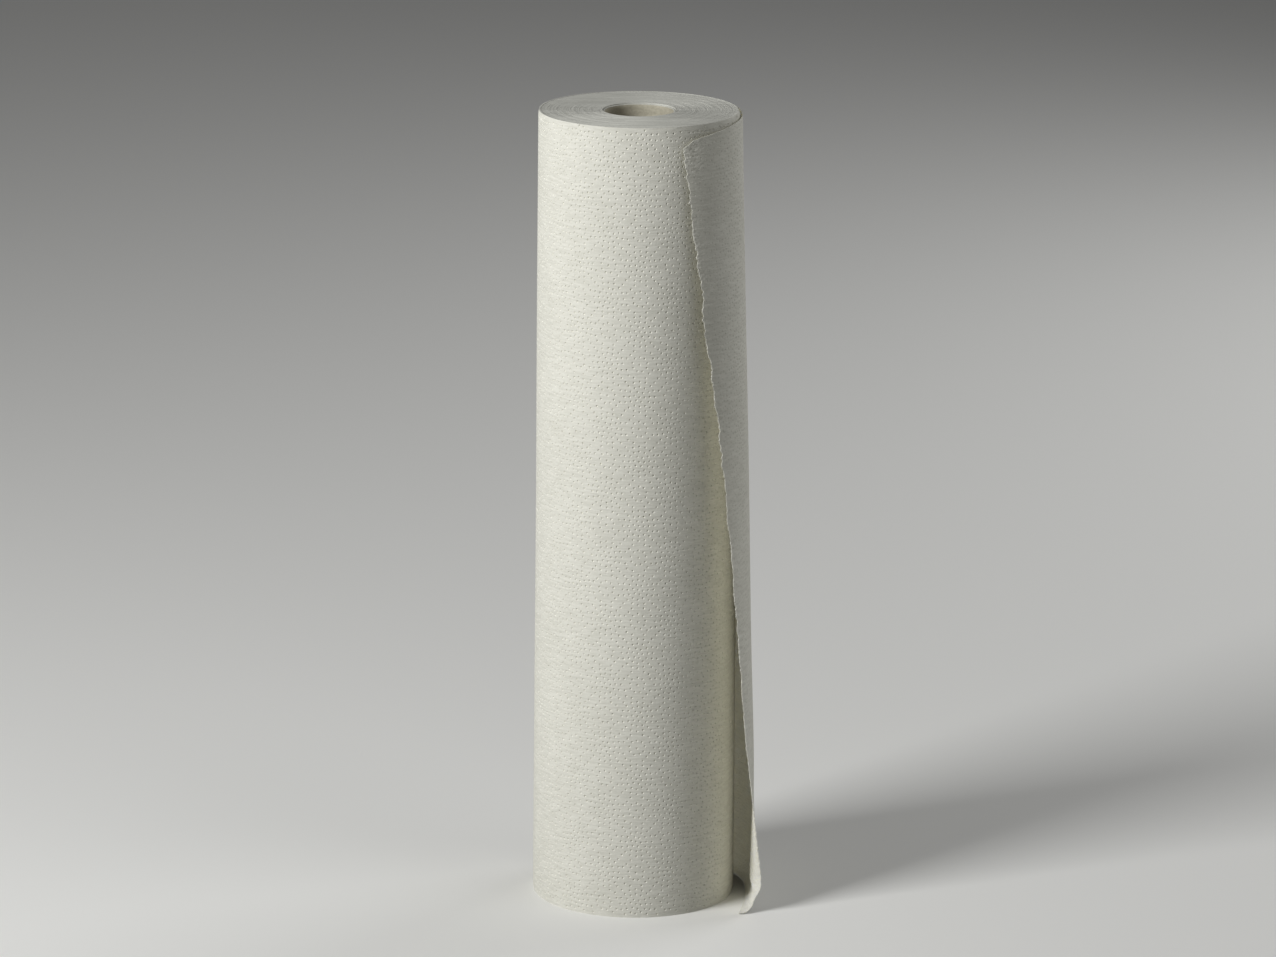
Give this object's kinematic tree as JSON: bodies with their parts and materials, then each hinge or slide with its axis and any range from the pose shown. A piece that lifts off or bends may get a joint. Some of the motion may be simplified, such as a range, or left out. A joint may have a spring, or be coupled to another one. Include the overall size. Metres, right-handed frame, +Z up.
{
  "type": "examination table paper roll",
  "caption": "Standing roll of white embossed couch tissue on a cardboard tube, with its outer turn slipped loose to a torn edge.",
  "frame": {"origin": "axis of the cardboard tube, in the end face that the roll stands on", "axes": "+Z up along the tube's axis; -Y is the front, where the wound surface is bare; +X is right, where the loose outer turn stands away"},
  "size_m": [0.1432, 0.1276, 0.5],
  "materials": {
    "tissue": "soft, matt, embossed with small raised dots",
    "cardboard": "plain grey-brown board, matt"
  },
  "bodies": {
    "root": {"paper_web": "tissue", "core_tube": "cardboard"}
  },
  "joints": []
}
